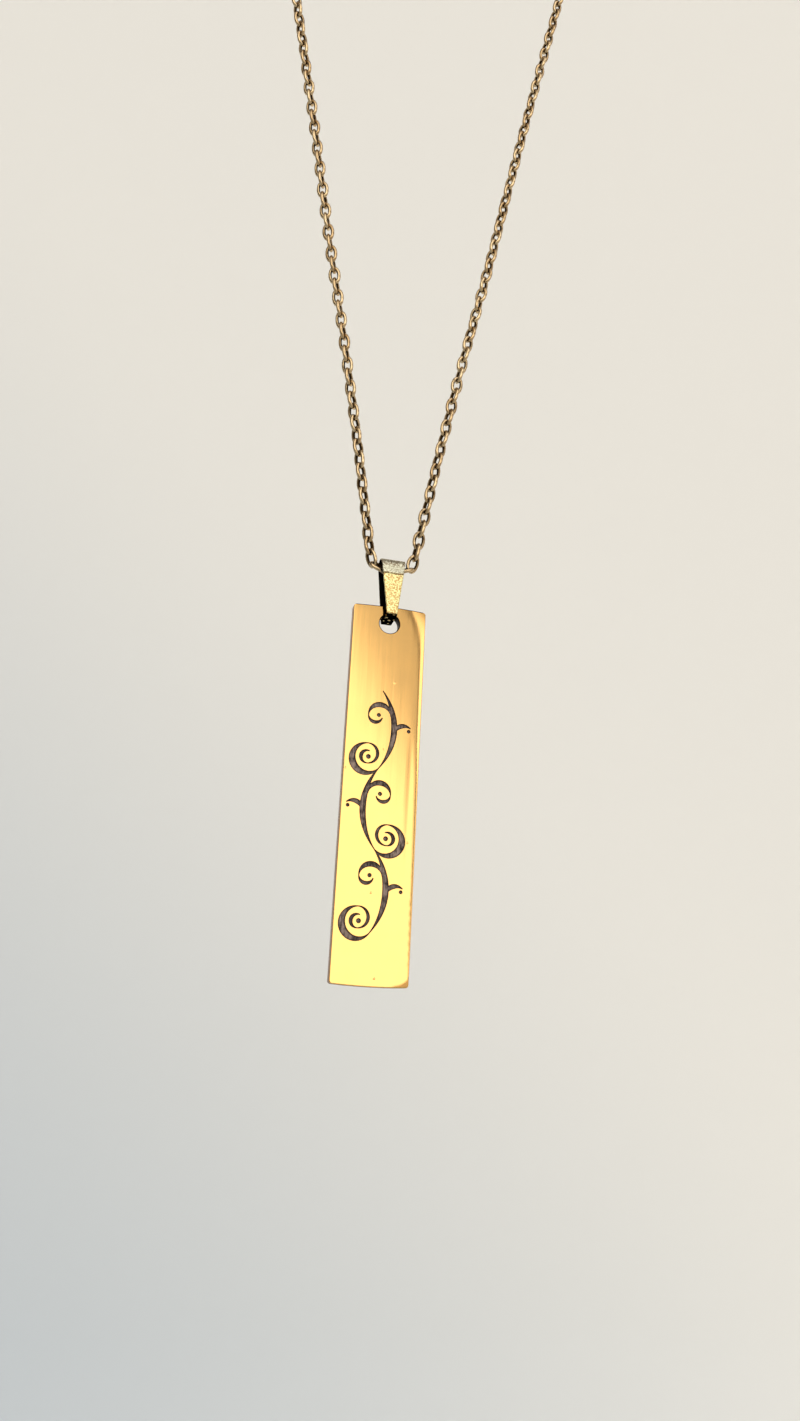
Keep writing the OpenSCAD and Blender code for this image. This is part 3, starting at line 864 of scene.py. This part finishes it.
# The links in their places, each with a tone of its own
route_way = add(tree, "GeometryNodeInputNamedAttribute", {"Name": "way"}, data_type="FLOAT_VECTOR")
aimed = add(tree, "FunctionNodeAlignRotationToVector", {"Vector": route_way}, axis="X")
twist = add(tree, "FunctionNodeAxisAngleToRotation", {"Axis": (1, 0, 0), "Angle": roll})
turned = add(tree, "FunctionNodeRotateRotation", {"Rotation": aimed, "Rotate By": twist},
             rotation_space="LOCAL")
strung = add(tree, "GeometryNodeInstanceOnPoints", {
    "Points": middles, "Instance": dressed, "Rotation": turned})
next_seed = add(tree, "ShaderNodeMath", {0: given["Seed"], 1: 1}, operation="ADD")
shade = add(tree, "FunctionNodeRandomValue", {"ID": number, "Seed": next_seed}, data_type="FLOAT")
toned = add(tree, "GeometryNodeStoreNamedAttribute", {
    "Geometry": strung, "Name": "tone", "Value": shade}, data_type="FLOAT", domain="INSTANCE")
real = add(tree, "GeometryNodeRealizeInstances", {"Geometry": toned})
finished = add(tree, "GeometryNodeSetMaterial", {"Geometry": real, "Material": antique})
add(tree, "NodeGroupOutput", {"Chain": finished})
print("tree:", tree.name, "with", len(tree.nodes), "nodes")

# %% [markdown]
# The tree runs once as a modifier on the route, and its result is kept as a plain mesh. An odd
# number of links puts one link in the very middle, level inside the bail's fold.

# %% The chain
link_count = 2 * round((route_length / LINK_STEP - 1) / 2) + 1
mesh = bpy.data.meshes.new("chain_route")
mesh.from_pydata([Vector((p.x, 0, p.y)) * MM for p in route],
                 [(i, i + 1) for i in range(len(route) - 1)], [])
carrier = put("chain_route", mesh)
modifier = carrier.modifiers.new("nodes", "NODES")
modifier.node_group = tree
modifier[sockets["Links"].identifier] = link_count
seen = carrier.evaluated_get(bpy.context.evaluated_depsgraph_get())
chain = put("chain_links", bpy.data.meshes.new_from_object(seen))
chain.data.name = "chain_links"
carrier.modifiers.clear()
bpy.data.objects.remove(carrier)
chain_mesh = bmesh.new()
chain_mesh.from_mesh(chain.data)
volume = chain_mesh.calc_volume(signed=True) / MM ** 3
chain_mesh.free()
print(f"chain: {link_count} links {route_length / link_count:.3f} mm apart,",
      f"{len(chain.data.polygons)} faces, {volume:.1f} mm3")
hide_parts("chain")
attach(chain, "loop")

# %% [markdown]
# The closure lies at the back of the wearer's neck: a cast lobster clasp, an end ring that it
# hooks, and a jump ring on each side that holds the chain. They are the bar's gilt brass, tumbled
# instead of mopped, so they shine softly and their scratches have no direction.

# %% Tumbled gold for the closure
tumbled, tree, shader, at = material("gilt_brass_tumbled")
cloud = add(tree, "ShaderNodeTexNoise", {"Vector": at, "Scale": 1 / (0.9 * MM), "Detail": 5.0})
tint = add(tree, "ShaderNodeMix", {
    "Factor": cloud, 6: linear("#E9BE78"), 7: linear("#C2924F")}, data_type="RGBA")
rough = add(tree, "ShaderNodeMapRange", {"Value": cloud, "To Min": 0.16, "To Max": 0.36})
bump = add(tree, "ShaderNodeBump", {"Height": cloud, "Strength": 0.2, "Distance": 0.02 * MM})
fill(shader, {"Base Color": tint, "Metallic": 1.0, "Roughness": rough, "Normal": bump})
end_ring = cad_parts["end_ring"]
end_ring.data.materials.clear()
end_ring.data.materials.append(tumbled)
print("material:", tumbled.name, "on the CAD's own end ring")

# %% [markdown]
# A jump ring is a turn of wire whose two cut ends are pressed together. Each is swept round almost
# a full turn, which leaves a hairline gap between its ends. It stands at 45 degrees, crosswise to
# the chain's last link, and reaches round the closure's wire.

# %% The jump rings
RING_ROWS, RING_SIDES, CUT_ANGLE = 33, 10, 1.5


def jump_ring(side):
    hooked, last = Vector((side * HOOKED_X, 0, 0)), Vector((side * route[-1].x, 0, route[-1].y))
    centre, out = (hooked + last) / 2, (last - hooked).normalized()
    across = Matrix.Rotation(radians(side * 45), 3, out) @ out.cross(Vector((0, 1, 0)))
    ring_r, wire_r, points = (JUMP_IN + JUMP_WIRE) / 2, JUMP_WIRE / 2, []
    for i in range(RING_ROWS):
        a = radians(90 + CUT_ANGLE + (360 - 2 * CUT_ANGLE) * i / (RING_ROWS - 1))
        spoke = out * cos(a) + across * sin(a)
        for b in (tau * k / RING_SIDES for k in range(RING_SIDES)):
            points.append(centre + spoke * (ring_r + wire_r * cos(b))
                          + out.cross(across) * wire_r * sin(b))
    return points


rings, faces = [], []
for side in (-1, 1):
    faces += [[i + len(rings) for i in face] for face in tube(RING_ROWS, RING_SIDES)]
    rings += jump_ring(side)
jump_rings = solid("jump_rings", rings, faces, [tumbled])
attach(jump_rings, "loop")

# %% [markdown]
# A lobster clasp is cast in one body: a hooked head round a hollow, a belly that hides the spring,
# a neck, and an eye for the jump ring. Rough solids are set into each other and fused by a voxel
# remesh, and smoothing then gives the soft look of a tumbled casting. A fine slit marks where the
# lever closes.

# %% The clasp
CLASP_T, HEAD_X, HEAD_R, HOLLOW_R = 1.8, 2.201, 2.05, 1.15
TAIL_X, NECK_X, NECK_HALF = -4.7, -4.4, 0.55
EYE_X, EYE_R, EYE_WIRE_R, VOXEL = -5.6, 1.0, 0.4, 0.09
SLIT_AT, SLIT_HALF, SLIT_TILT = (3.2, 0, 1.55), (0.06, 3, 0.8), 30


def half_height(x):
    # Half height of the body's outline over the axis
    if x > HEAD_X:
        return sqrt(max(0, HEAD_R ** 2 - (x - HEAD_X) ** 2))
    share = (x - NECK_X) / (HEAD_X - NECK_X)
    return NECK_HALF + (HEAD_R - NECK_HALF) * sin(share * pi / 2) ** 1.2


def swollen(value, power):
    # A sine or cosine made blunter, with its sign kept
    return copysign(abs(value) ** power, value)


def clasp_body():
    xs = [TAIL_X + 0.3 * i for i in range(24)]
    xs += [HEAD_X + HEAD_R * sin(pi / 2 * i / 12) for i in range(1, 12)]
    points = []
    for x in xs:
        half = half_height(max(x, NECK_X))
        thick = min(1, 0.62 + 0.38 * (x - TAIL_X) / 4) * min(1, sqrt(max(0.05, half / 0.9)))
        for a in (tau * k / 24 for k in range(24)):
            points.append((x, CLASP_T / 2 * thick * swollen(cos(a), 0.75), half * swollen(sin(a), 0.9)))
    return points, tube(len(xs), 24)


def clasp_eye():
    points = []
    for a in (tau * i / 40 for i in range(40)):
        for b in (tau * k / 14 for k in range(14)):
            reach = EYE_R + EYE_WIRE_R * cos(b)
            points.append((EYE_X + reach * cos(a), EYE_WIRE_R * sin(b), reach * sin(a)))
    return points, tube(40, 14, closed=True)


def rough_solid(name, shape, points=(), faces=()):
    # An object in millimetres with all faces outwards, for the modifiers to cut and fuse
    corners = [shape.verts.new(p) for p in points]
    for face in faces:
        shape.faces.new([corners[i] for i in face])
    bmesh.ops.recalc_face_normals(shape, faces=shape.faces)
    mesh = bpy.data.meshes.new(name)
    shape.to_mesh(mesh)
    shape.free()
    return put(name, mesh)


def build_clasp():
    drum, blade = bmesh.new(), bmesh.new()
    bmesh.ops.create_cone(drum, cap_ends=True, segments=40, radius1=HOLLOW_R, radius2=HOLLOW_R, depth=6)
    drum.transform(Matrix.Translation((HEAD_X, 0, 0)) @ Matrix.Rotation(pi / 2, 4, "X"))
    bmesh.ops.create_cube(blade, size=2)
    blade.transform(Matrix.Translation(SLIT_AT) @ Matrix.Rotation(radians(SLIT_TILT), 4, "Y")
                    @ Matrix.Diagonal((*SLIT_HALF, 1)))
    body = rough_solid("clasp_body", bmesh.new(), *clasp_body())
    eye = rough_solid("clasp_eye", bmesh.new(), *clasp_eye())
    hollow, slit = rough_solid("clasp_hollow", drum), rough_solid("clasp_slit", blade)

    def combine(operation, other):
        step = body.modifiers.new(other.name, "BOOLEAN")
        step.operation, step.object, step.solver = operation, other, "EXACT"

    combine("DIFFERENCE", hollow)
    combine("UNION", eye)
    remesh = body.modifiers.new("fuse", "REMESH")
    remesh.mode, remesh.voxel_size, remesh.use_smooth_shade = "VOXEL", VOXEL, True
    soften = body.modifiers.new("soften", "SMOOTH")
    soften.factor, soften.iterations = 0.5, 6
    combine("DIFFERENCE", slit)
    seen = body.evaluated_get(bpy.context.evaluated_depsgraph_get())
    mesh = bpy.data.meshes.new_from_object(seen)
    body.modifiers.clear()
    points, faces = [v.co.copy() for v in mesh.vertices], [list(p.vertices) for p in mesh.polygons]
    for old in (body, eye, hollow, slit):
        bpy.data.objects.remove(old)
    return solid("clasp_lobster", points, faces, [tumbled], sharp=45)


clasp = build_clasp()
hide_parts("clasp")
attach(clasp, "loop")
